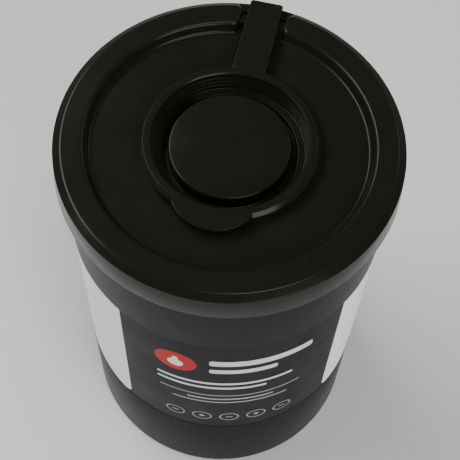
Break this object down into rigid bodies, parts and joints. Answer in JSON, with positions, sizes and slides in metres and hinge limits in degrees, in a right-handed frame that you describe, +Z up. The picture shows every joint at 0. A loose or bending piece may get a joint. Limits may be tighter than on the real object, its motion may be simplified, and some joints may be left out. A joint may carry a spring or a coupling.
{
  "type": "wipes tub",
  "caption": "Tall round plastic tub of cleaning wipes with a lift-off lid, a hinged dispensing cap with a pull tab, and a wraparound film label.",
  "frame": {"origin": "centre of the tub's flat base, on the surface that it stands on", "axes": "+Z up along the tub's axis; -Y is the front of the lid, where the pull tab is; the cap's hinge is at +Y"},
  "size_m": [0.1414, 0.1414, 0.2094],
  "materials": {
    "tub_plastic": "smooth glossy black polypropylene",
    "label_film": "satin printed film, charcoal front field and white sides",
    "wipes": "white nonwoven",
    "lid_plastic": "satin to glossy black polypropylene"
  },
  "bodies": {
    "tub_body": {"tub": "tub_plastic", "label": "label_film", "wipes_roll": "wipes"},
    "lid_body": {"lid": "lid_plastic"},
    "cap_body": {"dispensing_cap": "lid_plastic"}
  },
  "joints": [
    {"name": "lid_lift", "type": "slide", "parent": "tub_body", "child": "lid_body", "axis": [0, 0, 1], "range_m": [0, 0.06]},
    {"name": "cap_hinge", "type": "hinge", "parent": "lid_body", "child": "cap_body", "pos_m": [0, 0.0708, 0.20695], "axis": [-1, 0, 0], "range_deg": [0, 180]}
  ]
}
